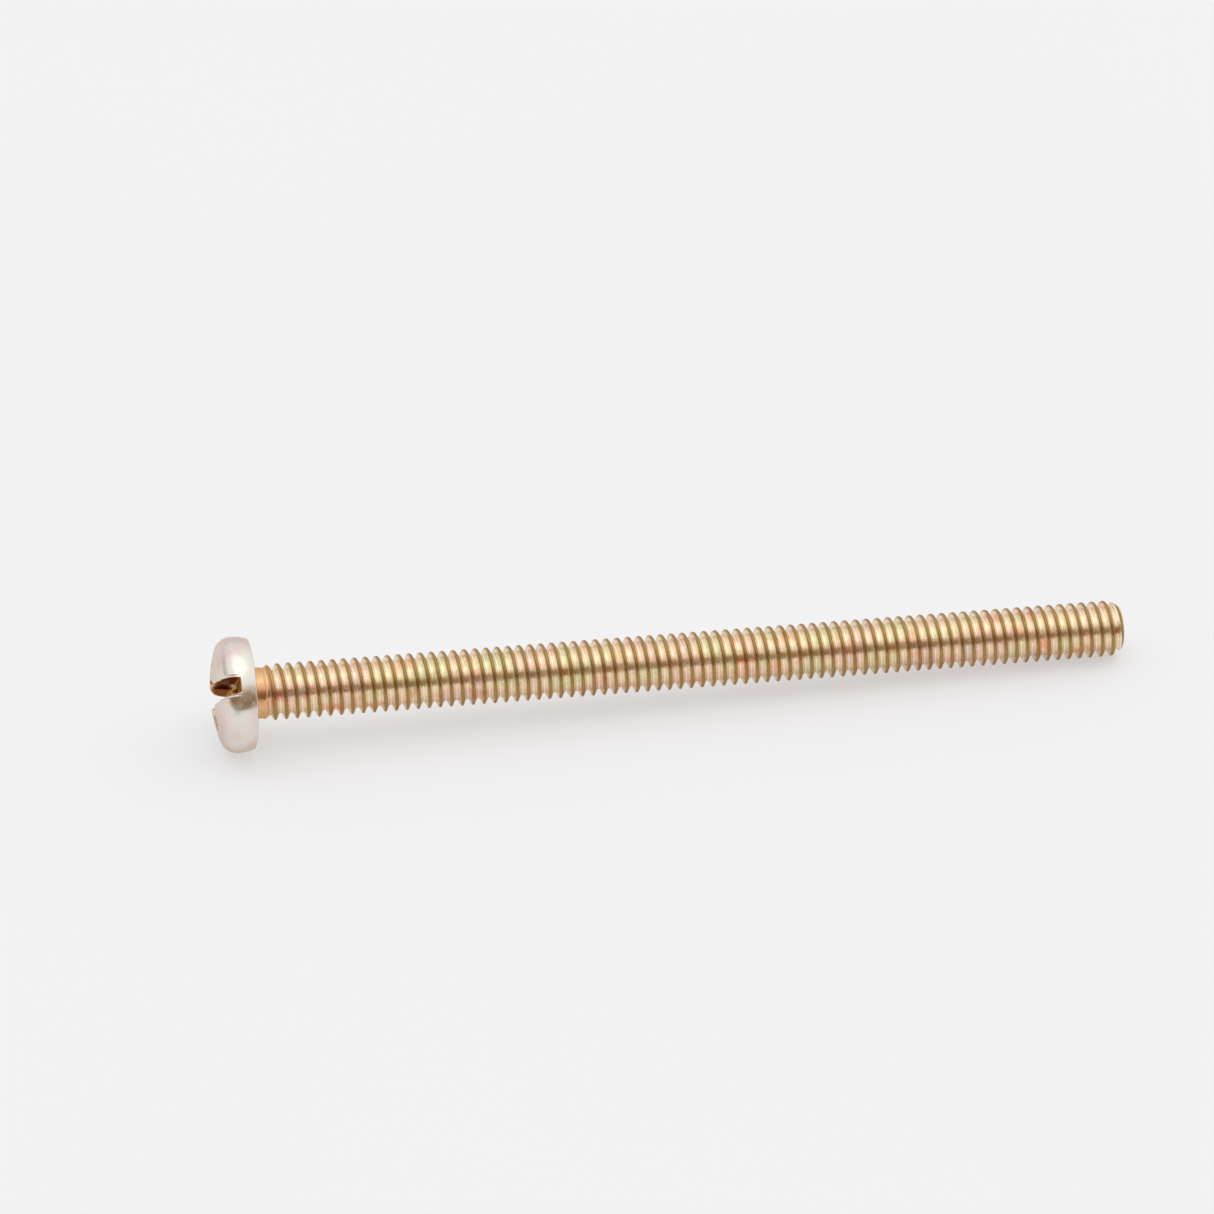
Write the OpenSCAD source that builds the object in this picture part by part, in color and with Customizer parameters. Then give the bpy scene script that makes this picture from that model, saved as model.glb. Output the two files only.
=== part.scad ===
// Pan head machine screw with a combination slot and cross recess, fully threaded.
// All lengths are in millimetres. The axis runs along +X from the head to the tip.
// The origin is the centre of the flat bearing ring under the head.

/* [Screw] */
// Length under the head
length = 63.5;  // [12:0.5:100]
// Plain neck and thread run-out under the head
neck_length = 0.7;  // [0.5:0.1:4]

/* [Thread] */
// Outside diameter of the thread
thread_diameter = 4.166;  // [2:0.001:8]
// Distance between neighbouring crests
thread_pitch = 0.79375;  // [0.4:0.00005:1.5]
// Depth of the thread as a share of the pitch
thread_depth_ratio = 0.6134;  // [0.5:0.0001:0.65]
// Plain neck diameter, close to the pitch diameter
neck_diameter = 3.66;  // [1.6:0.01:7.5]

/* [Tip] */
// Length of the chamfer at the tip
tip_chamfer = 0.9;  // [0.2:0.05:3]
// Diameter of the flat end
tip_diameter = 3.1;  // [1:0.05:6]

/* [Head] */
// Widest diameter of the head
head_diameter = 8.3;  // [4:0.05:16]
// Height of the head above the bearing ring
head_height = 2.85;  // [1:0.05:6]
// Height at which the head is widest
belly_height = 1.2;  // [0.2:0.05:3]
// Radius of the shoulder between the side and the dome
shoulder_radius = 1.2;  // [0.3:0.05:3]
// Radius of the shallow bulge of the side
side_radius = 3.5;  // [1.5:0.1:20]
// Fillet where the neck meets the bearing ring
neck_fillet = 0.32;  // [0.1:0.01:0.8]

/* [Drive] */
// Turn of the slot about the axis, measured up from the horizontal
recess_roll = 42;  // [0:1:90]
// Width of the slot at its floor
slot_floor_width = 1.12;  // [0.6:0.02:2]
// Width of the slot at the top of the dome
slot_mouth_width = 1.46;  // [0.6:0.02:2.6]
// Depth of the slot below the top of the dome
slot_depth = 1.7;  // [0.5:0.05:2.5]
// Tip to tip size of the cross at the dome
cross_span = 5;  // [2:0.1:7]
// Tip to tip size of the cross at its deepest line
cross_floor_span = 3.1;  // [0.5:0.1:5]
// Thickness of each wing of the cross
wing_width = 1.06;  // [0.5:0.02:2]
// Depth of the cross at the end of its wings
wing_depth = 2.2;  // [0.5:0.05:2.6]
// Depth of the cross at its centre
cross_depth = 2.5;  // [0.5:0.05:2.8]
// Diameter of the round relief at the centre of the cross
relief_diameter = 2.4;  // [1:0.05:4]

/* [Hidden] */
$fn = 96;

crest_radius = thread_diameter / 2;
root_radius = crest_radius - thread_depth_ratio * thread_pitch;
neck_radius = neck_diameter / 2;
crest_flat = thread_pitch / 8;
flank_run = thread_depth_ratio * thread_pitch * tan(30);
root_flat = thread_pitch - crest_flat - 2 * flank_run;
ring_count = floor((length - neck_length) / thread_pitch);
thread_start = length - (ring_count + 0.1) * thread_pitch;

head_radius = head_diameter / 2;
shoulder_centre = head_radius - shoulder_radius;
crown_rise = head_height - belly_height;
crown_radius = (crown_rise ^ 2 + shoulder_centre ^ 2 - shoulder_radius ^ 2)
    / (2 * (crown_rise - shoulder_radius));
crown_centre = head_height - crown_radius;
touch_share = crown_radius / (crown_radius - shoulder_radius);
touch_radius = shoulder_centre * touch_share;
touch_height = crown_centre + (belly_height - crown_centre) * touch_share;
side_centre = head_radius - side_radius;

yellow_zinc = [0.83, 0.68, 0.42];

// Turns a shape built along +Z so that it runs along +X.
module along_axis() {
    rotate([0, 90, 0]) children();
}

// Half section of the head: radius across, height above the bearing ring up.
module head_section() {
    intersection() {
        translate([0, crown_centre]) circle(r = crown_radius);
        translate([0, touch_height]) square([touch_radius, head_height]);
    }
    intersection() {
        translate([shoulder_centre, belly_height]) circle(r = shoulder_radius);
        translate([shoulder_centre, belly_height])
            square([shoulder_radius, touch_height - belly_height]);
    }
    intersection() {
        translate([side_centre, belly_height]) circle(r = side_radius);
        translate([shoulder_centre, 0]) square([head_radius, belly_height]);
    }
    square([shoulder_centre, touch_height]);
}

// The headed blank of the head with its domed top towards -X.
module head_blank() {
    rotate([0, -90, 0]) rotate_extrude() head_section();
}

// Points of one thread crest that starts at the height z.
function crest_points(z) = [
    [root_radius, z],
    [crest_radius, z + flank_run],
    [crest_radius, z + flank_run + crest_flat],
    [root_radius, z + 2 * flank_run + crest_flat],
];

// Half section of the threaded shank: crests at the true pitch and profile.
module thread_section() {
    crests = [
        for (i = [0 : ring_count - 1])
            for (point = crest_points(thread_start + i * thread_pitch)) point
    ];
    intersection() {
        polygon(concat(
            [[0, 0], [neck_radius, 0], [neck_radius, thread_start - 0.3 * thread_pitch]],
            crests,
            [[root_radius, length], [0, length]]
        ));
        polygon([
            [0, 0],
            [crest_radius + 1, 0],
            [crest_radius + 1, length - tip_chamfer - 0.001],
            [crest_radius, length - tip_chamfer],
            [tip_diameter / 2, length],
            [0, length],
        ]);
    }
}

// Rounded root between the neck and the bearing ring.
module neck_root() {
    along_axis() rotate_extrude() difference() {
        square([neck_radius + neck_fillet, neck_fillet]);
        translate([neck_radius + neck_fillet, neck_fillet]) circle(r = neck_fillet);
    }
}

// Shank with its neck and ring crests.
module shank() {
    along_axis() rotate_extrude() thread_section();
    neck_root();
}

// Straight slot right across the head, a little wider at its mouth.
module slot() {
    flare = (slot_mouth_width - slot_floor_width) / 2;
    extra = 0.5;
    edge = flare * (slot_depth + extra) / slot_depth;
    translate([0, head_diameter, 0])
        rotate([90, 0, 0])
            linear_extrude(height = 2 * head_diameter)
                polygon([
                    [slot_depth - head_height, -slot_floor_width / 2],
                    [slot_depth - head_height, slot_floor_width / 2],
                    [-head_height - extra, slot_floor_width / 2 + edge],
                    [-head_height - extra, -slot_floor_width / 2 - edge],
                ]);
}

// One pair of opposite wings of the cross, narrowing and sloping to the centre.
module wing_pair() {
    extra = 0.5;
    slope = (cross_span - cross_floor_span) / 2 / wing_depth;
    translate([0, 0, -wing_width / 2])
        linear_extrude(height = wing_width)
            polygon([
                [-head_height - extra, -cross_span / 2 - slope * extra],
                [wing_depth - head_height, -cross_floor_span / 2],
                [cross_depth - head_height, -0.25],
                [cross_depth - head_height, 0.25],
                [wing_depth - head_height, cross_floor_span / 2],
                [-head_height - extra, cross_span / 2 + slope * extra],
            ]);
}

// Round relief that eases the corners between the wings.
module centre_relief() {
    translate([-head_height, 0, 0])
        along_axis()
            cylinder(h = cross_depth, r1 = relief_diameter / 2, r2 = relief_diameter / 6);
}

// The whole driving recess, ready to be cut out of the head.
module drive_recess() {
    rotate([-recess_roll, 0, 0]) {
        slot();
        wing_pair();
        rotate([90, 0, 0]) wing_pair();
        centre_relief();
    }
}

// The screw: one cold headed and thread rolled piece of steel.
module screw() {
    color(yellow_zinc) {
        difference() {
            head_blank();
            drive_recess();
        }
        shank();
    }
}

screw();
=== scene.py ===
"""Yellow zinc plated pan head machine screw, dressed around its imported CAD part.

The screw lies along +X, head at the low end, on a pale studio floor. Its CAD node has ring
crests; here one closed mesh takes its place, with the true right-hand helical thread, the
rounded slot and cross recess and the rolled point. Sizes are millimetres until a mesh is made.
"""
import logging
import math
from dataclasses import dataclass, field
from enum import Enum

import bpy
import numpy as np
from mathutils import Matrix, Vector

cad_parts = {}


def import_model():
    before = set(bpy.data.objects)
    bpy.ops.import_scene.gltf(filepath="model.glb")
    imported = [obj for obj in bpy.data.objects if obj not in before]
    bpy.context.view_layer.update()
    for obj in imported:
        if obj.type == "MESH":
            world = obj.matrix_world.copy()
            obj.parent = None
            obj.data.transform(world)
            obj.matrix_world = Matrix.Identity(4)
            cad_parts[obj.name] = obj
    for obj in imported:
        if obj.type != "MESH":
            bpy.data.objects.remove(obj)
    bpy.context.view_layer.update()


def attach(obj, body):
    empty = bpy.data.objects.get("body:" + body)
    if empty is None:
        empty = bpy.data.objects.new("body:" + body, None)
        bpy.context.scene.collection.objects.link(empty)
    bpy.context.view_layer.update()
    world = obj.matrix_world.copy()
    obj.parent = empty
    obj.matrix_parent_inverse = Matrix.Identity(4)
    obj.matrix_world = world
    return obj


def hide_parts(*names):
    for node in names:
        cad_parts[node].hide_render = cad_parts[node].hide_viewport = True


MM = 0.001
TURN = 2.0 * math.pi
TINY = 1e-9  # keeps a divisor off zero and settles a tie between two angles
RECESS_FROM = 0.1  # depth share from which a face of the dome counts as recess
BUMP_STEP = 0.01  # height of the grain's bumps in millimetres
LOG = logging.getLogger("machine_screw")


class Zone(Enum):
    """Parts of the screw's skin that carry their own finish."""

    HEAD = 0
    RECESS = 1
    SHANK = 2


# ---------------------------------------------------------------- soft shapes on whole arrays


def soft_max(a: np.ndarray, b: np.ndarray, blend: float) -> np.ndarray:
    """Larger of two surfaces with a rounded meeting line.

    Half the sum plus half the hypotenuse of their difference and the blend length.

    Args:
        a: First surface.
        b: Second surface.
        blend: Size of the rounding, in the surfaces' own unit.

    Returns:
        The blended surface.
    """
    return 0.5 * (a + b + np.hypot(a - b, blend))


def soft_min(a: np.ndarray, b: np.ndarray, blend: float) -> np.ndarray:
    """Smaller of two surfaces with a rounded meeting line, as soft_max."""
    return -soft_max(-np.asarray(a), -np.asarray(b), blend)


def smooth_step(x: np.ndarray) -> np.ndarray:
    """Cubic ease from 0 to 1: three x squared less two x cubed, held outside 0 to 1."""
    t = np.clip(x, 0.0, 1.0)
    return t * t * (3.0 - 2.0 * t)


def grid_quads(index: np.ndarray) -> np.ndarray:
    """Quads of a grid of point indices, each cell's corners in turn.

    Args:
        index: Rows by columns of indices.

    Returns:
        Cells by 4.
    """
    corners = [index[:-1, :-1], index[:-1, 1:], index[1:, 1:], index[1:, :-1]]
    return np.stack(corners, -1).reshape(-1, 4)


@dataclass
class Patch:
    """A piece of skin: points, faces into them and what each point carries."""

    points: np.ndarray
    quads: np.ndarray
    triangles: np.ndarray
    depth: np.ndarray

    @staticmethod
    def of_grid(points: np.ndarray, depth: np.ndarray) -> "Patch":
        """Makes a patch from a grid of points, rows by columns.

        Args:
            points: Rows by columns by 3.
            depth: Rows by columns, how deep the skin lies in a groove or recess, 0 to 1.

        Returns:
            The patch, its points in row order.
        """
        rows, columns = depth.shape
        quads = grid_quads(np.arange(rows * columns).reshape(rows, columns))
        return Patch(points.reshape(-1, 3), quads, np.zeros((0, 3), int), depth.ravel())


def zip_rings(outer: np.ndarray, inner: np.ndarray) -> np.ndarray:
    """Triangles that fill the flat ring between two circles of unlike point counts.

    Each circle hands over from one point to the next half way along its edge. Going round,
    every hand-over makes one triangle with the point that is then current on the other one.

    Args:
        outer: Angles of the outer points, rising.
        inner: Angles of the inner points, rising.

    Returns:
        Triangles as indices: outer points first, then the inner ones.
    """
    outer_count, inner_count = len(outer), len(inner)
    outer_half = (outer + np.append(outer[1:], outer[0] + TURN)) / 2.0
    inner_half = (inner + np.append(inner[1:], inner[0] + TURN)) / 2.0 + TINY
    facing_inner = outer_count + current_point(inner_half, outer_half)
    facing_outer = current_point(outer_half, inner_half)
    outer_index, inner_index = np.arange(outer_count), np.arange(inner_count)
    next_outer = (outer_index + 1) % outer_count
    next_inner = (inner_index + 1) % inner_count
    on_outer = np.stack([outer_index, next_outer, facing_inner], -1)
    on_inner = np.stack([outer_count + next_inner, outer_count + inner_index, facing_outer], -1)
    return np.concatenate([on_outer, on_inner])


def current_point(half: np.ndarray, angle: np.ndarray) -> np.ndarray:
    """Which point of a circle is current at each angle.

    Args:
        half: Angles at which each point hands over to the next, rising, within one turn.
        angle: Angles to look up.

    Returns:
        Indices of the points.
    """
    wrapped = np.where(angle > half[-1], angle - TURN, angle)
    wrapped = np.where(wrapped < half[-1] - TURN, wrapped + TURN, wrapped)
    return np.searchsorted(half, wrapped) % len(half)


# ---------------------------------------------------------------- the head


@dataclass(frozen=True)
class DriveRecess:
    """Slot right across the dome with a cross on its middle. Sizes in millimetres.

    Positions along the axis count from the bearing face, with the dome's apex lowest. Each shade
    pair says how far off a level the painted shade starts to change, and over what distance.
    """

    roll: float = math.radians(42.0)
    apex: float = -2.85
    slot_floor: float = -1.15
    slot_floor_half: float = 0.56
    slot_mouth_half: float = 0.73
    wing_half: float = 0.565
    wing_draft: float = 0.036
    wing_reach: float = 2.5
    wing_slope: float = 0.432
    wing_heel: float = -0.66
    pit: float = -0.36
    pit_half: float = 0.2
    corner: float = 0.5
    lip: float = 0.11
    wall_foot_round: float = 0.22
    heel_round: float = 0.12
    pit_round: float = 0.05
    edge_round: float = 0.04
    wing_end_share: float = 0.9
    wing_end_inset: float = 0.08
    wall_shade: tuple[float, float] = (0.1, 0.1)
    foot_shade: tuple[float, float] = (0.12, 0.2)
    pit_shade: tuple[float, float] = (0.05, 0.35)

    def corner_swell(self, across: np.ndarray) -> np.ndarray:
        """Extra slot width beside a wing: a quarter circle tangent to both walls.

        Args:
            across: Distance from the wing's middle line.

        Returns:
            How much wider each side of the slot is there.
        """
        beyond = np.clip(self.wing_half + self.corner - across, 0.0, self.corner)
        return self.corner - np.sqrt(self.corner**2 - beyond**2)

    def wing_floor(self, along: np.ndarray) -> np.ndarray:
        """Height of a wing's bottom: a steep end that falls to the heel, then eases to the pit.

        Args:
            along: Distance from the axis along the wing.

        Returns:
            Position along the screw's axis.
        """
        end = self.apex + (self.wing_reach - along) / self.wing_slope
        heel_at = self.wing_reach - self.wing_slope * (self.wing_heel - self.apex)
        climb = (self.pit - self.wing_heel) * (heel_at - along) / (heel_at - self.pit_half)
        floor = self.wing_heel + climb
        return soft_min(soft_min(end, floor, self.heel_round), self.pit, self.pit_round)

    def height(self, along: np.ndarray, across: np.ndarray) -> np.ndarray:
        """Height of the recess under any point of the dome.

        Each shape is the shallower of its floor and its steep walls, and the recess is the
        deepest shape: the slot, the cross's wings over it and the wings along it.

        Args:
            along: Distance along the slot from the axis, signed.
            across: Distance across it, signed.

        Returns:
            Position along the screw's axis. Far outside it runs off towards -X.
        """
        u, v, foot = np.abs(along), np.abs(across), self.wall_foot_round
        draft = (self.slot_mouth_half - self.slot_floor_half) / (self.slot_floor - self.apex)
        slot_wall = self.apex + (self.slot_mouth_half + self.corner_swell(u) - v) / draft
        slot = soft_min(self.slot_floor, slot_wall, foot)
        wing_wall = self.apex + (self.wing_half - u) / self.wing_draft
        wing = soft_min(self.wing_floor(v), wing_wall, foot)
        inner_wall = self.apex + (self.wing_half - v) / self.wing_draft
        inner_wing = soft_min(self.wing_floor(u), inner_wall, foot)
        return np.maximum(slot, soft_max(wing, inner_wing, self.pit_round))

    def painted_shade(self, x: np.ndarray, dome: np.ndarray) -> np.ndarray:
        """Painted shade in the recess: full half way up the slot's walls and down in the cross.

        Args:
            x: Position of the recess's skin.
            dome: Position of the bare dome over it.

        Returns:
            0 on the slot's floor to 1 on its walls and in the pit.
        """
        (top, top_run), (foot, foot_run) = self.wall_shade, self.foot_shade
        pit, pit_run = self.pit_shade
        wall = smooth_step((x - dome - top) / top_run)
        wall = wall * smooth_step((self.slot_floor - foot - x) / foot_run)
        return np.maximum(wall, smooth_step((x - self.slot_floor - pit) / pit_run))

    def land_edge(self, along: np.ndarray, across: np.ndarray) -> np.ndarray:
        """Distance from the recess's mouth: the corner's arc, and past a wing its end or the slot.

        Args:
            along: Distance along the slot from the axis, signed.
            across: Distance across it, signed.

        Returns:
            Distance in millimetres, positive on the land around the recess.
        """
        u, v = np.abs(along), np.abs(across)
        x = u - self.wing_half - self.corner
        y = v - self.slot_mouth_half - self.corner
        bend = self.corner - np.hypot(np.minimum(x, 0.0), np.minimum(y, 0.0))
        land = bend + np.maximum(np.minimum(x, y), 0.0)
        past_end = self.wing_end_share * (v - self.wing_reach + self.wing_end_inset)
        past_wing = np.minimum(past_end, v - self.slot_mouth_half)
        return soft_max(land, past_wing, self.edge_round)

    def lip_drop(self, edge: np.ndarray) -> np.ndarray:
        """How far the land's edge is rounded down: a quarter circle of the lip's radius."""
        inside = np.clip(self.lip - edge, 0.0, self.lip)
        return self.lip - np.sqrt(self.lip**2 - inside**2)


@dataclass(frozen=True)
class PanHead:
    """Domed head turned about the axis, with its recess. Sizes in millimetres.

    The dome's grid is a plain square as far as square_half, and its lines within straight_half of
    either middle line stay straight to the rim. Land and wing end lines are given as a first
    place, an end and a step, and the shoulder's lines by the degrees that its arc turns through.
    """

    radius: float = 4.15
    height: float = 2.85
    belly: float = 1.2
    shoulder: float = 1.2
    side_radius: float = 3.5
    edge: float = 0.09
    square_half: float = 2.3
    straight_half: float = 1.05
    wall_lines: tuple[float, ...] = (
        0.08, 0.16, 0.24, 0.32, 0.39, 0.44, 0.48, 0.51, 0.535, 0.56, 0.585, 0.61, 0.64,
        0.67, 0.695, 0.72, 0.745, 0.77, 0.8, 0.83, 0.87, 0.92, 0.98, 1.05)
    land_lines: tuple[float, float, float] = (1.13, 2.2, 0.1)
    wing_end_lines: tuple[float, float, float] = (2.26, 2.66, 0.06)
    shoulder_turn: tuple[float, float] = (-8.0, 90.0)
    shoulder_lines: int = 17
    narrow_from: float = 3.0
    mouth_round: float = 0.012
    sunk_limit: float = 1.0
    film_from: float = 0.09
    film_over: float = 0.08
    slot_tone: float = 0.35
    side_steps: int = 8
    edge_rings: int = 5
    recess: DriveRecess = field(default_factory=DriveRecess)

    def crown(self) -> tuple[float, float, float]:
        """Works out the dome's big arc, which is tangent to the shoulder's arc.

        Returns:
            Its radius, its centre on the axis and the radius where it meets the shoulder.
        """
        rise = self.height - self.belly
        centre = self.radius - self.shoulder
        big = (rise**2 + centre**2 - self.shoulder**2) / (2.0 * (rise - self.shoulder))
        return big, big - self.height, centre * big / (big - self.shoulder)

    def dome(self, r: np.ndarray) -> np.ndarray:
        """Position of the bare dome at a radius: the big arc, then the shoulder's arc.

        Args:
            r: Distance from the axis.

        Returns:
            Position along the axis.
        """
        big, centre, touch = self.crown()
        crown = centre - np.sqrt(np.maximum(big**2 - r**2, 0.0))
        out = np.clip(r - self.radius + self.shoulder, 0.0, self.shoulder)
        shoulder = -self.belly - np.sqrt(self.shoulder**2 - out**2)
        return np.where(r < touch, crown, shoulder)

    def side(self, x: np.ndarray) -> np.ndarray:
        """Radius of the side at a position: a shallow arc, then the rounded lower edge.

        Args:
            x: Position along the axis.

        Returns:
            Distance from the axis.
        """
        arc = self.radius - self.side_radius + np.sqrt(self.side_radius**2 - (x + self.belly) ** 2)
        low = np.clip(x + self.edge, 0.0, self.edge)
        return arc - (self.edge - np.sqrt(self.edge**2 - low**2))

    def lines(self) -> np.ndarray:
        """Places of the dome's grid lines, one way and the other: close along every wall.

        Returns:
            Places from edge to edge, rising.
        """
        turn = np.radians(np.linspace(*self.shoulder_turn, self.shoulder_lines))
        shoulder = self.radius - self.shoulder + self.shoulder * np.sin(turn)
        land, wing_end = np.arange(*self.land_lines), np.arange(*self.wing_end_lines)
        half = np.concatenate([self.wall_lines, land, wing_end, shoulder])
        return np.concatenate([-half[::-1], [0.0], half])

    def disc(self, lines: np.ndarray) -> tuple[np.ndarray, np.ndarray]:
        """Spreads a square grid over the disc, with the lines near both middles kept straight.

        A point's level is the larger of its two coordinates. Inside the plain square it stays.
        Outside, the corners move out evenly to the disc's edge, and each level's sides are arcs
        through its corners and middles.

        Args:
            lines: Grid line places from edge to edge.

        Returns:
            The along and across coordinates of each grid point.
        """
        a, b = np.meshgrid(lines, lines, indexing="ij")
        level = np.maximum(np.abs(a), np.abs(b))
        small = np.minimum(np.abs(a), np.abs(b))
        inner, straight = self.square_half, self.straight_half
        out = np.clip(level - inner, 0.0, None)
        corner = inner + out * (self.radius / math.sqrt(2.0) - inner) / (self.radius - inner)
        corner = np.where(level > inner, corner, level)
        squeeze = (corner - straight) / np.maximum(level - straight, TINY)
        minor = np.where(small > straight, straight + (small - straight) * squeeze, small)
        minor = np.where(level > inner, minor, small)
        middle = (2.0 * corner**2 - level**2) / np.minimum(2.0 * (corner - level), -TINY)
        bent = middle + np.sqrt(np.maximum((level - middle) ** 2 - minor**2, 0.0))
        major = np.where(level > inner, bent, level)
        first = np.abs(a) >= np.abs(b)
        u = np.sign(a) * np.where(first, major, minor)
        v = np.sign(b) * np.where(first, minor, major)
        return u, v

    def top(self) -> tuple[Patch, np.ndarray]:
        """Dome with the recess sunk into it.

        The skin is the deeper of the dome, its mouth edges rounded down, and the recess. Outside
        narrow_from it is drawn in to the side's own radius, where the slot's ends fall lower
        than the belly.

        Returns:
            The patch, and the indices of its rim in order of rising angle.
        """
        lines = self.lines()
        u, v = self.disc(lines)
        r = np.hypot(u, v)
        bare = self.dome(np.minimum(r, self.radius))
        land = bare + self.recess.lip_drop(self.recess.land_edge(u, v))
        sunk = self.recess.height(u, v)
        x = soft_max(land, np.maximum(sunk, land - self.sunk_limit), self.mouth_round)
        narrow = self.side(np.maximum(x, -self.belly)) / self.radius - 1.0
        scale = 1.0 + narrow * smooth_step((r - self.narrow_from) / (self.radius - self.narrow_from))
        u, v = u * scale, v * scale
        roll = self.recess.roll
        y = -u * math.cos(roll) - v * math.sin(roll)
        z = u * math.sin(roll) - v * math.cos(roll)
        # The depth share picks the recess's finish; within it, painted shade rises up the slot's
        # walls and into the pit.
        sunken = smooth_step((x - bare - self.film_from) / self.film_over)
        depth = sunken * (self.slot_tone + (1.0 - self.slot_tone) * self.recess.painted_shade(x, bare))
        patch = Patch.of_grid(np.stack([x, y, z], -1), depth)
        index = np.arange(x.size).reshape(x.shape)
        loop = np.concatenate([index[0, :-1], index[:-1, -1], index[-1, :0:-1], index[:0:-1, 0]])
        angle = np.arctan2(patch.points[loop, 2], patch.points[loop, 1])
        return patch, loop[np.argsort(angle)]


# ---------------------------------------------------------------- the threaded shank


@dataclass(frozen=True)
class RolledThread:
    """Right-hand thread rolled on the shank, with its neck and point. Sizes in millimetres.

    The depth, the crest's half flat and the profile's marks are shares of the pitch, and the two
    roundings of the groove are shares of its depth. The lead is where crest number 0 would cross
    angle 0, short of the start.
    """

    length: float = 63.5
    crest: float = 2.035
    pitch: float = 0.79375
    depth_share: float = 0.6134
    neck: float = 1.83
    fillet: float = 0.32
    start: float = 0.6
    lead: float = -0.484
    run_out: float = 1.1
    chamfer: float = 0.9
    point: float = 1.55
    point_edge: float = 0.12
    point_power: float = 1.25
    dish: float = 0.05
    columns: int = 64
    neck_tone: float = 0.2
    flat_share: float = 0.072
    flank_angle: float = math.radians(30.0)
    crest_round: float = 0.09
    root_round: float = 0.12
    cut_round: float = 0.03
    neck_end: float = 0.46
    marks: tuple[float, ...] = (
        0.0, 0.055, 0.1, 0.19, 0.29, 0.38, 0.44, 0.56, 0.62, 0.71, 0.81, 0.9, 0.945)
    spare_turns: int = 2
    fillet_rings: int = 7
    end_shares: tuple[float, ...] = (0.9, 0.7, 0.45, 0.2)

    def groove(self, phase: np.ndarray) -> np.ndarray:
        """Depth of the groove at a phase, 0 on the crest and 1 at the root.

        A straight flank from the crest's flat to the root, rounded where it meets each.

        Args:
            phase: Distance from a crest's middle in pitches.

        Returns:
            The share of the full depth.
        """
        away = np.abs(phase - np.round(phase))
        run = self.depth_share * math.tan(self.flank_angle)
        ramp = (away - self.flat_share) / run
        flank = soft_min(soft_max(ramp, 0.0, self.crest_round), 1.0, self.root_round)
        return np.clip(flank, 0.0, 1.0)

    def envelope(self, x: np.ndarray) -> np.ndarray:
        """Largest radius at a position: the crest, then the point's cone with a rounded edge.

        Args:
            x: Position along the axis.

        Returns:
            Distance from the axis.
        """
        into = np.clip((x - self.length + self.chamfer) / self.chamfer, 0.0, 1.0)
        cone = self.crest - (self.crest - self.point) * into**self.point_power
        end = np.clip(x - self.length + self.point_edge, 0.0, self.point_edge)
        return cone - (self.point_edge - np.sqrt(self.point_edge**2 - end**2))

    def radius(self, x: np.ndarray, phase: np.ndarray) -> tuple[np.ndarray, np.ndarray]:
        """Radius of the shank and the groove's depth there.

        The helix fades in from the plain neck over the run-out, and the point's cone cuts it.
        The neck counts as a shallow groove.

        Args:
            x: Position along the axis.
            phase: Position along the thread in pitches, crest middles at whole numbers.

        Returns:
            The radius and the depth share.
        """
        groove = self.groove(phase)
        full = self.crest - self.depth_share * self.pitch * groove
        grown = smooth_step((x - self.start) / self.run_out)
        body = self.neck + (full - self.neck) * grown
        depth = groove * grown + self.neck_tone * (1.0 - grown)
        return soft_min(body, self.envelope(x), self.cut_round), depth

    def helix(self) -> Patch:
        """Threaded length as one sheared grid.

        Row by row the grid climbs along the profile, and column by column it climbs round the
        helix, so each crest is one row. After a whole turn a row meets the row one pitch on.
        Points before the start and past the end are drawn onto the two end circles.

        Returns:
            The patch: the start circle's points first, then the end circle's, then the rest.
        """
        marks, count = np.array(self.marks), self.columns
        turns = math.ceil((self.length - self.start) / self.pitch) + self.spare_turns
        phase = (np.arange(turns)[:, None] + marks[None, :]).ravel()
        turn = np.arange(count) / count
        x = self.lead + self.pitch * (phase[:, None] + turn[None, :])
        low, high = x <= self.start, x >= self.length
        x = np.clip(x, self.start, self.length)
        r, depth = self.radius(x, phase[:, None] + np.zeros_like(x))
        r = np.where(low, self.neck, np.where(high, self.point - self.point_edge, r))
        angle = TURN * turn[None, :]
        grid = np.stack([x, r * np.cos(angle), r * np.sin(angle)], -1)
        rows = len(phase)
        index = 2 * count + np.arange(rows * count).reshape(rows, count)
        index = np.where(low, np.arange(count)[None, :], index)
        index = np.where(high, count + np.arange(count)[None, :], index)
        step = len(marks)
        last, first = index[:, -1], index[:, 0]
        seam = np.stack([last[: -1 - step], first[step:-1], first[step + 1 :], last[1:-step]], -1)
        quads = np.concatenate([grid_quads(index), seam])
        left, right = quads[:, 0] == quads[:, 3], quads[:, 1] == quads[:, 2]
        both = left & right
        left_thin, right_thin = quads[left & ~both], quads[right & ~both]
        thin = np.concatenate([left_thin[:, [0, 1, 2]], right_thin[:, [0, 1, 3]]])
        start_ring = self.ring(self.start, self.neck)
        end_ring = self.ring(self.length, self.point - self.point_edge)
        points = np.concatenate([start_ring, end_ring, grid.reshape(-1, 3)])
        ends = np.full(2 * count, self.neck_tone)
        return Patch(points, quads[~left & ~right], thin, np.concatenate([ends, depth.ravel()]))

    def ring(self, x: float, r: float) -> np.ndarray:
        """One circle of points about the axis."""
        angle = TURN * np.arange(self.columns) / self.columns
        return np.stack([np.full(self.columns, x), r * np.cos(angle), r * np.sin(angle)], -1)

    def root_rings(self) -> np.ndarray:
        """Circles from the bearing face down the root fillet and along the neck.

        The fillet is a quarter circle that is tangent to the face and to the neck.

        Returns:
            Rings by columns by 3, the first on the bearing face.
        """
        bend = np.radians(np.linspace(0.0, 90.0, self.fillet_rings))
        x = np.append(self.fillet * (1.0 - np.cos(bend)), self.neck_end)
        r = np.append(self.neck + self.fillet * (1.0 - np.sin(bend)), self.neck)
        return np.stack([self.ring(a, b) for a, b in zip(x, r)])

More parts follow.
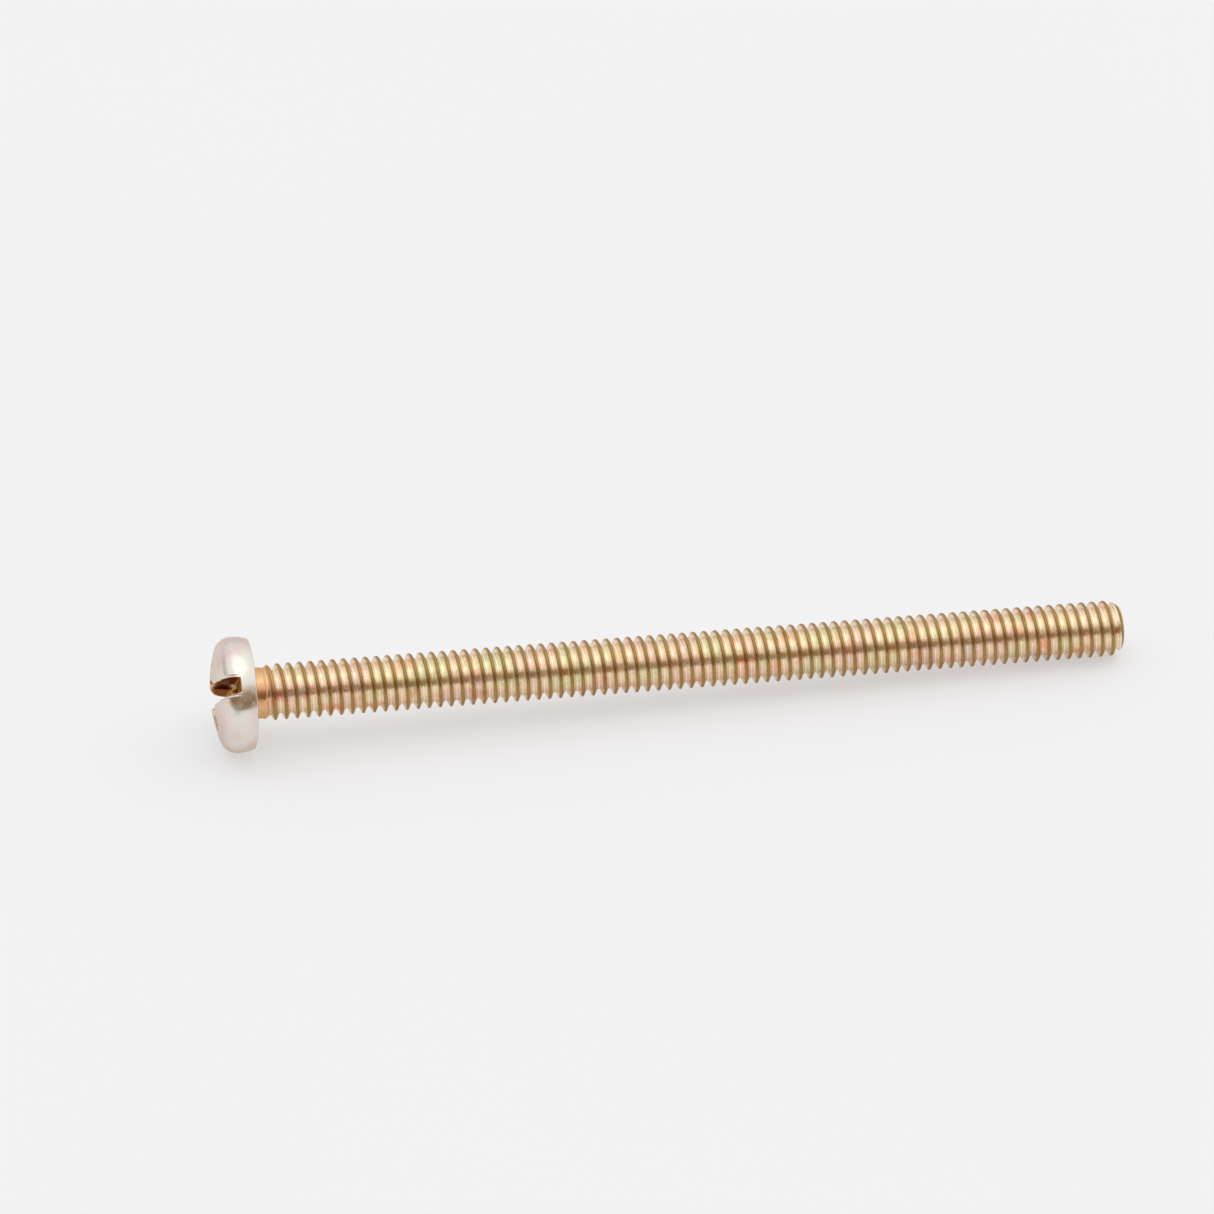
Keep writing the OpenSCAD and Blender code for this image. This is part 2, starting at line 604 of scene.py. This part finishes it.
    def end_rings(self) -> np.ndarray:
        """Circles over the cut end, nearly flat and a little dished towards its middle.

        Returns:
            Rings by columns by 3, from the rim inwards.
        """
        r = (self.point - self.point_edge) * np.array(self.end_shares)
        x = self.length - self.dish * (1.0 - (r / self.point) ** 2) ** 2
        return np.stack([self.ring(a, b) for a, b in zip(x, r)])


# ---------------------------------------------------------------- shared shader groups


@dataclass(frozen=True)
class Noise:
    """Numbers of a noise texture: cells a metre, how many finer layers and how strong they are."""

    scale: float
    detail: float = 2.0
    rough: float = 0.5


class Nodes:
    """Places nodes in a tree, sets their inputs and joins them."""

    def __init__(self, tree: bpy.types.NodeTree) -> None:
        """Keeps the tree that the nodes go into."""
        self.tree = tree

    def add(self, kind: str, **settings: object) -> bpy.types.Node:
        """Adds a node and sets its plain properties.

        Args:
            kind: The node's type.
            **settings: Value by property name.

        Returns:
            The node.
        """
        node = self.tree.nodes.new(kind)
        for key, value in settings.items():
            setattr(node, key, value)
        return node

    def feed(self, node: bpy.types.Node, **inputs: object) -> bpy.types.Node:
        """Sets or links a node's inputs.

        Args:
            node: The node.
            **inputs: Value or socket by input name, with underscores for the spaces in a name.

        Returns:
            The same node.
        """
        for key, value in inputs.items():
            self.put(node.inputs[key.replace("_", " ")], value)
        return node

    def put(self, socket: bpy.types.NodeSocket, value: object) -> None:
        """Links an input to a socket, or sets its value.

        Args:
            socket: The input.
            value: An output socket, or a plain value.
        """
        if isinstance(value, bpy.types.NodeSocket):
            self.tree.links.new(value, socket)
        else:
            socket.default_value = value

    def math(self, operation: str, *values: object, clamp: bool = False) -> bpy.types.NodeSocket:
        """Adds a math node.

        Args:
            operation: The node's operation.
            *values: Its inputs in order.
            clamp: Whether the result is held between 0 and 1.

        Returns:
            Its output.
        """
        node = self.add("ShaderNodeMath", operation=operation, use_clamp=clamp)
        for socket, value in zip(node.inputs, values):
            self.put(socket, value)
        return node.outputs[0]

    def noise(self, vector: bpy.types.NodeSocket, noise: Noise) -> bpy.types.NodeSocket:
        """Adds a noise texture.

        Args:
            vector: Where it is read.
            noise: Its numbers.

        Returns:
            Its value.
        """
        node = self.add("ShaderNodeTexNoise")
        self.feed(node, Vector=vector, Scale=noise.scale, Detail=noise.detail, Roughness=noise.rough)
        return node.outputs["Fac"]

    def ease(
        self, value: object, low: float, high: float, to_low: float = 0.0, to_high: float = 1.0
    ) -> bpy.types.NodeSocket:
        """Adds a smooth map from one range to another.

        Args:
            value: What is mapped.
            low: Value at which the result starts to change.
            high: Value at which it stops.
            to_low: Result at the low value and below.
            to_high: Result at the high value and above.

        Returns:
            The mapped value.
        """
        node = self.add("ShaderNodeMapRange", interpolation_type="SMOOTHSTEP")
        self.feed(node, Value=value, From_Min=low, From_Max=high, To_Min=to_low, To_Max=to_high)
        return node.outputs["Result"]

    def mix(
        self, share: object, first: object, second: object, blend: str = "MIX"
    ) -> bpy.types.NodeSocket:
        """Adds a colour mix.

        Args:
            share: How much of the second colour, 0 to 1.
            first: The first colour.
            second: The second colour.
            blend: How the second colour goes onto the first.

        Returns:
            The mixed colour.
        """
        node = self.add("ShaderNodeMix", data_type="RGBA", blend_type=blend)
        factor, colour_a, colour_b = node.inputs[0], node.inputs[6], node.inputs[7]
        self.put(factor, share)
        self.put(colour_a, first)
        self.put(colour_b, second)
        return node.outputs[2]

    def ramp(self, value: object, stops: tuple[tuple[float, tuple], ...]) -> bpy.types.NodeSocket:
        """Adds a colour ramp.

        Args:
            value: Where the ramp is read, 0 to 1.
            stops: Place and colour of each stop.

        Returns:
            The colour there.
        """
        node = self.add("ShaderNodeValToRGB")
        bar = node.color_ramp.elements
        while len(bar) < len(stops):
            bar.new(0.5)
        for element, (place, colour) in zip(bar, stops):
            element.position, element.color = place, colour
        self.put(node.inputs[0], value)
        return node.outputs[0]


@dataclass
class SharedEffects:
    """Node groups that more than one finish uses, each built once.

    Each range is the pair of values between which a mask eases in.
    """

    rainbow: tuple[tuple[float, tuple], ...] = (
        (0.0, (0.66, 0.86, 0.66, 1)), (0.24, (0.86, 0.92, 0.6, 1)), (0.44, (1.0, 0.97, 0.86, 1)),
        (0.62, (1.0, 0.88, 0.76, 1)), (0.8, (1.0, 0.7, 0.68, 1)), (1.0, (0.76, 0.76, 0.86, 1)))
    rainbow_range: tuple[float, float] = (0.28, 0.72)
    patch_detail: float = 3.0
    patch_rough: float = 0.55
    band: Noise = Noise(1150.0, detail=1.0)
    band_stretch: tuple[float, float, float] = (1.0, 0.45, 0.45)
    blush: Noise = Noise(760.0)
    blush_range: tuple[float, float] = (0.56, 0.72)
    rose: tuple[float, float, float, float] = (1.0, 0.6, 0.52, 1.0)
    ripple: Noise = Noise(700.0)
    peel: Noise = Noise(5200.0, detail=3.0, rough=0.6)
    nick_cells: float = 1500.0
    nick_reach: float = 0.16
    nick_patch: Noise = Noise(420.0, detail=1.0)
    nick_patch_range: tuple[float, float] = (0.55, 0.65)
    wear: Noise = Noise(1900.0, detail=4.0, rough=0.65)
    wear_range: tuple[float, float] = (0.42, 0.68)
    built: dict[str, bpy.types.NodeTree] = field(default_factory=dict)

    @staticmethod
    def start(
        name: str, inputs: dict[str, tuple[str, object]], outputs: dict[str, str]
    ) -> tuple[bpy.types.NodeTree, Nodes, bpy.types.Node, bpy.types.Node]:
        """Makes an empty group with named sockets.

        Args:
            name: The group's name.
            inputs: Socket type and default value by input name.
            outputs: Socket type by output name.

        Returns:
            The group, its node helper, its input node and its output node.
        """
        group = bpy.data.node_groups.new(name, "ShaderNodeTree")
        for key, (kind, value) in inputs.items():
            socket = group.interface.new_socket(key, in_out="INPUT", socket_type=kind)
            socket.default_value = value
        for key, kind in outputs.items():
            group.interface.new_socket(key, in_out="OUTPUT", socket_type=kind)
        nodes = Nodes(group)
        return group, nodes, nodes.add("NodeGroupInput"), nodes.add("NodeGroupOutput")

    def chromate_tint(self) -> bpy.types.NodeTree:
        """Rainbow drift of the chromate film: soft patches of rose, green and straw.

        Two noises pick a place on a run of interference colours. One makes slow patches. The
        other is drawn out across the axis and shifts the place from crest to crest. A third
        noise lays a rosy blush over the colour in spots.

        Returns:
            The group.
        """
        if "tint" in self.built:
            return self.built["tint"]
        group, nodes, source, out = self.start(
            "chromate_tint",
            {"Base": ("NodeSocketColor", (1, 1, 1, 1)), "Strength": ("NodeSocketFloat", 0.3),
             "Patch Scale": ("NodeSocketFloat", 300.0), "Band Share": ("NodeSocketFloat", 0.4),
             "Shift": ("NodeSocketFloat", 0.0), "Blush": ("NodeSocketFloat", 0.4)},
            {"Color": "NodeSocketColor"},
        )
        given = source.outputs
        place = nodes.add("ShaderNodeTexCoord").outputs["Object"]
        patch = nodes.add("ShaderNodeTexNoise")
        nodes.feed(patch, Vector=place, Scale=given["Patch Scale"], Detail=self.patch_detail,
                   Roughness=self.patch_rough)
        stretch = nodes.add("ShaderNodeMapping")
        nodes.feed(stretch, Vector=place, Scale=self.band_stretch)
        band = nodes.noise(stretch.outputs[0], self.band)
        swing = nodes.math("MULTIPLY", nodes.math("SUBTRACT", band, 0.5), given["Band Share"])
        where = nodes.math("ADD", nodes.math("ADD", patch.outputs["Fac"], swing), given["Shift"])
        rainbow = nodes.ramp(nodes.ease(where, *self.rainbow_range), self.rainbow)
        tinted = nodes.mix(1.0, given["Base"], rainbow, "MULTIPLY")
        drifted = nodes.mix(given["Strength"], given["Base"], tinted)
        blush = nodes.ease(nodes.noise(place, self.blush), *self.blush_range)
        rosy = nodes.mix(1.0, drifted, self.rose, "MULTIPLY")
        blushed = nodes.mix(nodes.math("MULTIPLY", blush, given["Blush"]), drifted, rosy)
        nodes.put(out.inputs["Color"], blushed)
        self.built["tint"] = group
        return group

    def plating_grain(self) -> bpy.types.NodeTree:
        """Fine unevenness of the plated skin: a height and a roughness mask.

        The height is a coarse ripple left by heading and rolling plus a fine orange peel, less
        sparse nicks. The mask is a mottle of wear plus the nicks.

        Returns:
            The group.
        """
        if "grain" in self.built:
            return self.built["grain"]
        group, nodes, source, out = self.start(
            "plating_grain",
            {"Ripple": ("NodeSocketFloat", 0.5), "Peel": ("NodeSocketFloat", 0.5),
             "Nicks": ("NodeSocketFloat", 0.3)},
            {"Height": "NodeSocketFloat", "Worn": "NodeSocketFloat"},
        )
        given = source.outputs
        place = nodes.add("ShaderNodeTexCoord").outputs["Object"]
        ripple = nodes.math("MULTIPLY", nodes.noise(place, self.ripple), given["Ripple"])
        peel = nodes.math("MULTIPLY", nodes.noise(place, self.peel), given["Peel"])
        cells = nodes.add("ShaderNodeTexVoronoi")
        nodes.feed(cells, Vector=place, Scale=self.nick_cells, Randomness=1.0)
        spot = nodes.ease(cells.outputs["Distance"], 0.0, self.nick_reach, 1.0, 0.0)
        some = nodes.ease(nodes.noise(place, self.nick_patch), *self.nick_patch_range)
        nick = nodes.math("MULTIPLY", nodes.math("MULTIPLY", spot, some), given["Nicks"])
        height = nodes.math("SUBTRACT", nodes.math("ADD", ripple, peel), nick)
        nodes.put(out.inputs["Height"], height)
        mottle = nodes.ease(nodes.noise(place, self.wear), *self.wear_range)
        nodes.put(out.inputs["Worn"], nodes.math("ADD", mottle, nick, clamp=True))
        self.built["grain"] = group
        return group


# ---------------------------------------------------------------- finishes


@dataclass(frozen=True)
class ZincFinish:
    """Yellow chromated zinc on steel, as one part of the screw shows it.

    The open colour is on crests and land and the deep one down in a groove, with the change over
    the depth range; on the thread this paints reflection bands and in the recess painted shade.
    The edge colour is the metal's at a grazing angle. The stain fades out along the axis between
    two distances from the bearing face, in millimetres.
    """

    name: str
    open_colour: tuple[float, float, float, float]
    deep_colour: tuple[float, float, float, float]
    depth_range: tuple[float, float]
    tint: float
    patch_scale: float
    band_share: float
    shift: float
    blush: float
    smooth_rough: float
    worn_rough: float
    bump: float
    ripple: float
    peel: float
    nicks: float
    edge: tuple[float, float, float, float]
    stain: tuple[float, float, float, float] | None = None
    stain_range: tuple[float, float] = (0.0, 1.0)

    def material(self, effects: SharedEffects) -> bpy.types.Material:
        """Builds the material: base by groove depth, neck stain, rainbow drift, grain and wear.

        Args:
            effects: The shared node groups.

        Returns:
            The material.
        """
        material = bpy.data.materials.new(self.name)
        material.use_nodes = True
        material.node_tree.nodes.clear()
        nodes = Nodes(material.node_tree)
        # Base colour by depth share: painted reflection bands on the thread, painted shade in the
        # recess.
        depth = nodes.add("ShaderNodeAttribute", attribute_name="depth").outputs["Fac"]
        share = nodes.ease(depth, *self.depth_range)
        base = nodes.mix(share, self.open_colour, self.deep_colour)
        if self.stain is not None:
            split = nodes.add("ShaderNodeSeparateXYZ")
            nodes.put(split.inputs[0], nodes.add("ShaderNodeTexCoord").outputs["Object"])
            near, far = (place * MM for place in self.stain_range)
            fade = nodes.ease(split.outputs["X"], near, far, 1.0, 0.0)
            base = nodes.mix(fade, base, self.stain)
        tint = nodes.add("ShaderNodeGroup", node_tree=effects.chromate_tint())
        nodes.feed(tint, Base=base, Strength=self.tint, Patch_Scale=self.patch_scale,
                   Band_Share=self.band_share, Shift=self.shift, Blush=self.blush)
        grain = nodes.add("ShaderNodeGroup", node_tree=effects.plating_grain())
        nodes.feed(grain, Ripple=self.ripple, Peel=self.peel, Nicks=self.nicks)
        rough = nodes.ease(grain.outputs["Worn"], 0.0, 1.0, self.smooth_rough, self.worn_rough)
        bump = nodes.add("ShaderNodeBump")
        nodes.feed(bump, Strength=self.bump, Distance=BUMP_STEP * MM, Height=grain.outputs["Height"])
        shader = nodes.add("ShaderNodeBsdfPrincipled")
        nodes.feed(shader, Base_Color=tint.outputs["Color"], Metallic=1.0, Roughness=rough,
                   Normal=bump.outputs["Normal"], Specular_Tint=self.edge)
        nodes.feed(nodes.add("ShaderNodeOutputMaterial"), Surface=shader.outputs["BSDF"])
        return material


FINISHES = {
    Zone.HEAD: ZincFinish(
        name="zinc_head", open_colour=(0.81, 0.78, 0.75, 1), deep_colour=(0.8, 0.6, 0.36, 1),
        depth_range=(0.0, 1.0), tint=0.4, patch_scale=210.0, band_share=0.0, shift=0.07, blush=0.25,
        smooth_rough=0.18, worn_rough=0.32, bump=0.6, ripple=1.4, peel=0.25, nicks=0.15,
        edge=(0.82, 0.74, 0.68, 1)),
    # Recess: the floor's golden tone is the film's own, darkened by painted shade; the deep colour
    # is painted shade up the slot's walls and in the cross's pit.
    Zone.RECESS: ZincFinish(
        name="zinc_recess", open_colour=(0.72, 0.48, 0.27, 1), deep_colour=(0.24, 0.09, 0.04, 1),
        depth_range=(0.4, 1.0), tint=0.3, patch_scale=420.0, band_share=0.0, shift=0.0, blush=0.2,
        smooth_rough=0.22, worn_rough=0.36, bump=0.6, ripple=1.0, peel=0.5, nicks=0.3,
        edge=(0.5, 0.3, 0.18, 1)),
    # Thread: painted reflection bands, dark on the crests and a near-white painted highlight in the
    # grooves.
    Zone.SHANK: ZincFinish(
        name="zinc_thread", open_colour=(0.4, 0.26, 0.1, 1), deep_colour=(0.97, 0.88, 0.75, 1),
        depth_range=(0.04, 0.5), tint=0.4, patch_scale=420.0, band_share=0.25, shift=0.0, blush=0.6,
        smooth_rough=0.2, worn_rough=0.4, bump=0.8, ripple=1.5, peel=0.6, nicks=0.2,
        edge=(0.88, 0.74, 0.62, 1), stain=(0.78, 0.46, 0.24, 1), stain_range=(0.72, 1.8)),
}


# ---------------------------------------------------------------- the whole screw


@dataclass
class MachineScrew:
    """One headed and rolled piece: the head, its recess and the threaded shank in one skin.

    The skin grows patch by patch: its points with their depth shares, then quads and triangles
    with the zone number of each.
    """

    head: PanHead = field(default_factory=PanHead)
    thread: RolledThread = field(default_factory=RolledThread)
    points: list[np.ndarray] = field(default_factory=list)
    depth: list[np.ndarray] = field(default_factory=list)
    quads: list[np.ndarray] = field(default_factory=list)
    triangles: list[np.ndarray] = field(default_factory=list)
    zone_quads: list[np.ndarray] = field(default_factory=list)
    zone_triangles: list[np.ndarray] = field(default_factory=list)
    count: int = 0

    def add_points(self, points: np.ndarray, depth: np.ndarray) -> np.ndarray:
        """Adds points to the skin.

        Args:
            points: Any shape that ends in 3.
            depth: The depth share of each.

        Returns:
            Their indices in the whole skin.
        """
        self.points.append(points.reshape(-1, 3))
        self.depth.append(depth.ravel())
        index = self.count + np.arange(len(self.points[-1]))
        self.count += len(index)
        return index

    def add_faces(self, faces: np.ndarray, zone: np.ndarray | Zone) -> None:
        """Adds quads or triangles with the finish that each one has.

        Args:
            faces: Faces by 4 or by 3.
            zone: The zone of all of them, or the zone number of each.
        """
        zones = np.full(len(faces), zone.value) if isinstance(zone, Zone) else zone
        if faces.shape[1] == 4:
            self.quads.append(faces)
            self.zone_quads.append(zones)
        else:
            self.triangles.append(faces)
            self.zone_triangles.append(zones)

    def add_strip(self, first: np.ndarray, second: np.ndarray, zone: np.ndarray | Zone) -> None:
        """Joins two circles of equal count with quads."""
        nxt_first, nxt_second = np.roll(first, -1), np.roll(second, -1)
        self.add_faces(np.stack([first, nxt_first, nxt_second, second], -1), zone)

    def add_head(self) -> tuple[np.ndarray, np.ndarray]:
        """Adds the dome, the side and its lower edge.

        Each side column starts where the dome's rim is, which is lower in the slot's two ends.

        Returns:
            Indices of the last circle, on the bearing face, and its angles.
        """
        patch, rim = self.head.top()
        index = self.add_points(patch.points, patch.depth)
        deep = patch.depth[patch.quads].mean(axis=1) > RECESS_FROM
        self.add_faces(index[patch.quads], np.where(deep, Zone.RECESS.value, Zone.HEAD.value))
        start = patch.points[rim]
        angle = np.arctan2(start[:, 2], start[:, 1])
        bend = np.radians(np.linspace(0.0, 90.0, self.head.edge_rings))
        edge = -self.head.edge * np.cos(bend)
        ring = index[rim]
        for part in np.linspace(0.0, 1.0, self.head.side_steps + 1)[1:-1]:
            x = start[:, 0] + (edge[0] - start[:, 0]) * part
            ring = self.next_head_ring(ring, x, angle)
        for x in edge:
            ring = self.next_head_ring(ring, np.full(len(rim), x), angle)
        return ring, angle

    def next_head_ring(self, ring: np.ndarray, x: np.ndarray, angle: np.ndarray) -> np.ndarray:
        """Adds one circle of the head's side and joins it to the one before.

        Args:
            ring: Indices of the circle before.
            x: Position of each of the new circle's points.
            angle: Their angles.

        Returns:
            Indices of the new circle.
        """
        r = self.head.side(x)
        points = np.stack([x, r * np.cos(angle), r * np.sin(angle)], -1)
        new = self.add_points(points, np.zeros(len(x)))
        self.add_strip(ring, new, Zone.HEAD)
        return new

    def add_shank(self, bearing: np.ndarray, angle: np.ndarray) -> None:
        """Adds the bearing face, root fillet, neck, thread and cut end.

        Args:
            bearing: Indices of the bearing face's outer circle.
            angle: Their angles.
        """
        thread = self.thread
        rings = thread.root_rings()
        tone = np.full(thread.columns, thread.neck_tone)
        ring = self.add_points(rings[0], tone)
        own = TURN * np.arange(thread.columns) / thread.columns
        own = np.where(own > math.pi, own - TURN, own)
        order = np.argsort(own)
        faces = zip_rings(angle, own[order])
        self.add_faces(np.concatenate([bearing, ring[order]])[faces], Zone.HEAD)
        for points in rings[1:]:
            new = self.add_points(points, tone)
            self.add_strip(ring, new, Zone.SHANK)
            ring = new
        helix = thread.helix()
        index = self.add_points(helix.points, helix.depth)
        self.add_strip(ring, index[: thread.columns], Zone.SHANK)
        self.add_faces(index[helix.quads], Zone.SHANK)
        self.add_faces(index[helix.triangles], Zone.SHANK)
        ring = index[thread.columns : 2 * thread.columns]
        for points in thread.end_rings():
            new = self.add_points(points, tone)
            self.add_strip(ring, new, Zone.SHANK)
            ring = new
        centre = self.add_points(np.array([[thread.length - thread.dish, 0.0, 0.0]]), tone[:1])
        fan = np.stack([ring, np.roll(ring, -1), np.full(len(ring), centre[0])], -1)
        self.add_faces(fan, Zone.SHANK)

    def build(self, name: str) -> bpy.types.Object:
        """Puts the whole skin into one mesh object.

        Args:
            name: The piece's name.

        Returns:
            The object, at the origin, with unused points dropped and a depth attribute.
        """
        bearing, angle = self.add_head()
        self.add_shank(bearing, angle)
        points = np.concatenate(self.points) * MM
        depth = np.concatenate(self.depth)
        quads, triangles = np.concatenate(self.quads), np.concatenate(self.triangles)
        zones = np.concatenate(self.zone_quads + self.zone_triangles)
        used = np.unique(np.concatenate([quads.ravel(), triangles.ravel()]))
        renumber = np.zeros(len(points), int)
        renumber[used] = np.arange(len(used))
        loops = np.concatenate([renumber[quads].ravel(), renumber[triangles].ravel()])
        sizes = np.concatenate([np.full(len(quads), 4), np.full(len(triangles), 3)])
        mesh = bpy.data.meshes.new(name)
        mesh.vertices.add(len(used))
        mesh.vertices.foreach_set("co", points[used].astype(np.float32).ravel())
        mesh.loops.add(len(loops))
        mesh.loops.foreach_set("vertex_index", loops.astype(np.int32))
        mesh.polygons.add(len(sizes))
        mesh.polygons.foreach_set("loop_start", (np.cumsum(sizes) - sizes).astype(np.int32))
        mesh.polygons.foreach_set("material_index", zones.astype(np.int32))
        mesh.polygons.foreach_set("use_smooth", np.ones(len(sizes), bool))
        mesh.update(calc_edges=True)
        layer = mesh.attributes.new("depth", "FLOAT", "POINT")
        layer.data.foreach_set("value", depth[used].astype(np.float32))
        mesh.validate()
        screw = bpy.data.objects.new(name, mesh)
        bpy.context.scene.collection.objects.link(screw)
        return screw

    def dress(self, screw: bpy.types.Object, effects: SharedEffects) -> None:
        """Gives the screw its finishes, one for each zone and in the zones' order."""
        for zone in Zone:
            screw.data.materials.append(FINISHES[zone].material(effects))


# ---------------------------------------------------------------- stage, light and camera


@dataclass(frozen=True)
class Studio:
    """Pale floor that the screw rests on, and the camera. Lengths in millimetres.

    The camera stands off its aim in the direction back, with up towards the top of its view.
    """

    rest_head: float = 4.15
    rest_at: float = -1.2
    tip_at: float = 62.5
    tip_radius: float = 2.035
    floor_half: float = 1600.0
    floor_middle: float = 26.0
    floor_lines: int = 9
    floor_gap: float = 0.01
    floor_colour: tuple[float, float, float, float] = (0.449, 0.45, 0.456, 1.0)
    floor_low: float = 0.992
    floor_rough: float = 0.9
    mottle: Noise = Noise(9.0)
    mottle_range: tuple[float, float] = (0.3, 0.7)
    glow: float = 1.025
    aim: tuple[float, float, float] = (26.0, 1.7, 3.95)
    back: tuple[float, float, float] = (-0.16406, -0.83581, 0.52392)
    up: tuple[float, float, float] = (0.07392, 0.51921, 0.85144)
    distance: float = 632.7
    lens: float = 262.0
    sensor: float = 36.0
    clip: tuple[float, float] = (10.0, 20000.0)

    def tilt(self) -> float:
        """Angle at which the floor touches both the head's rim and the last full crest."""
        return math.atan((self.rest_head - self.tip_radius) / (self.tip_at - self.rest_at))

    def paper(self) -> bpy.types.Material:
        """Matt paper of the floor, faintly mottled and partly lit from within.

        Returns:
            The material.
        """
        material = bpy.data.materials.new("floor_paper")
        material.use_nodes = True
        nodes = Nodes(material.node_tree)
        place = nodes.add("ShaderNodeTexCoord").outputs["Object"]
        mottle = nodes.ease(nodes.noise(place, self.mottle), *self.mottle_range)
        low = tuple(part * self.floor_low for part in self.floor_colour[:3]) + (1.0,)
        paper = nodes.mix(mottle, low, self.floor_colour)
        nodes.feed(material.node_tree.nodes["Principled BSDF"], Base_Color=paper,
                   Roughness=self.floor_rough, Emission_Color=paper, Emission_Strength=self.glow)
        return material

    def floor(self) -> bpy.types.Object:
        """Flat sheet under both resting points.

        Its height is the head's foot, less a small gap, plus the distance along x from that foot
        times the tangent of the tilt.

        Returns:
            The sheet.
        """
        steps = np.linspace(-self.floor_half, self.floor_half, self.floor_lines)
        x, y = np.meshgrid(steps + self.floor_middle, steps, indexing="ij")
        z = -self.rest_head - self.floor_gap + (x - self.rest_at) * math.tan(self.tilt())
        points = np.stack([x, y, z], -1).reshape(-1, 3) * MM
        quads = grid_quads(np.arange(x.size).reshape(x.shape).T)
        mesh = bpy.data.meshes.new("floor")
        mesh.from_pydata(points.tolist(), [], quads.tolist())
        mesh.materials.append(self.paper())
        floor = bpy.data.objects.new("floor", mesh)
        bpy.context.scene.collection.objects.link(floor)
        return floor

    def camera(self) -> bpy.types.Object:
        """Camera that looks along the screw's side from above and a little behind its head.

        Returns:
            The camera, which is made the scene's own.
        """
        data = bpy.data.cameras.new("camera")
        data.lens, data.sensor_width = self.lens, self.sensor
        data.clip_start, data.clip_end = (end * MM for end in self.clip)
        camera = bpy.data.objects.new("camera", data)
        back, up = Vector(self.back).normalized(), Vector(self.up).normalized()
        right = up.cross(back).normalized()
        turn = Matrix((right, back.cross(right), back)).transposed()
        camera.rotation_mode = "QUATERNION"
        camera.rotation_quaternion = turn.to_quaternion()
        camera.location = (Vector(self.aim) + back * self.distance) * MM
        bpy.context.scene.collection.objects.link(camera)
        bpy.context.scene.camera = camera
        return camera


@dataclass(frozen=True)
class Tent:
    """White tent round the stage, as a brightness for each direction.

    Directions have length 1, and left is past the head's end. Each range is the pair of values
    between which a part of the tent fades, and each top is such a range of heights.
    """

    wall_range: tuple[float, float] = (0.1, 0.9)
    wall_light: tuple[float, float] = (0.82, 1.02)
    crown_range: tuple[float, float] = (0.83, 0.97)
    crown_light: float = 0.4
    front: tuple[float, float] = (-0.19, -0.98)
    opening_range: tuple[float, float] = (0.2, 0.6)
    opening_top: tuple[float, float] = (0.45, 0.8)
    opening_shade: float = 0.67
    opening_colour: tuple[float, float, float, float] = (1.0, 0.68, 0.4, 1.0)
    left_range: tuple[float, float] = (-0.95, -0.5)
    left_top: tuple[float, float] = (0.2, 0.6)
    left_shade: float = 0.35
    seen_tone: float = 0.896

    def hang(self) -> None:
        """Puts the tent into the scene's world.

        Brightness rises smoothly with a direction's height, and once more straight overhead. The
        left is dimmer low down, and so is a warm opening at the front. Each of the two is the
        product of two fades: how far a direction points that way, and how low. What the camera
        sees directly is one even tone, close to the floor's.
        """
        world = bpy.data.worlds.new("studio")
        bpy.context.scene.world = world
        world.use_nodes = True
        world.node_tree.nodes.clear()
        nodes = Nodes(world.node_tree)
        split = nodes.add("ShaderNodeSeparateXYZ")
        nodes.put(split.inputs[0], nodes.add("ShaderNodeTexCoord").outputs["Generated"])
        east, north, height = split.outputs
        by_east, by_north = self.front
        front = nodes.math("ADD", nodes.math("MULTIPLY", north, by_north),
                           nodes.math("MULTIPLY", east, by_east))
        opening = nodes.math("MULTIPLY", nodes.ease(front, *self.opening_range),
                             nodes.ease(height, *self.opening_top, 1.0, 0.0))
        left = nodes.math("MULTIPLY", nodes.ease(east, *self.left_range, self.left_shade, 0.0),
                          nodes.ease(height, *self.left_top, 1.0, 0.0))
        ceiling = nodes.math("ADD", nodes.ease(height, *self.wall_range, *self.wall_light),
                             nodes.ease(height, *self.crown_range, 0.0, self.crown_light))
        shade = nodes.math("MAXIMUM", nodes.math("MULTIPLY", opening, self.opening_shade), left)
        room = nodes.math("MULTIPLY", ceiling, nodes.math("SUBTRACT", 1.0, shade))
        seen = nodes.add("ShaderNodeLightPath").outputs["Is Camera Ray"]
        unseen = nodes.math("SUBTRACT", 1.0, seen)
        strength = nodes.math("ADD", nodes.math("MULTIPLY", room, unseen),
                              nodes.math("MULTIPLY", seen, self.seen_tone))
        warmth = nodes.math("MULTIPLY", opening, unseen)
        colour = nodes.mix(warmth, (1.0, 1.0, 1.0, 1.0), self.opening_colour)
        light = nodes.add("ShaderNodeBackground")
        nodes.feed(light, Color=colour, Strength=strength)
        nodes.feed(nodes.add("ShaderNodeOutputWorld"), Surface=light.outputs[0])


def main() -> None:
    """Builds the screw, dresses it, sets the stage and reports each piece."""
    logging.basicConfig(level=logging.INFO, format="%(name)s: %(message)s")
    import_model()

    machine_screw = MachineScrew()
    screw = machine_screw.build("machine_screw")
    machine_screw.dress(screw, SharedEffects())
    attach(screw, "root")
    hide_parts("screw")
    LOG.info("%s: %d faces", screw.name, len(screw.data.polygons))

    studio = Studio()
    studio.floor()
    Tent().hang()
    studio.camera()
    bpy.context.scene.view_settings.view_transform = "Standard"
    LOG.info("stage set, floor tilt %.2f degrees", math.degrees(studio.tilt()))


if __name__ == "__main__":
    main()
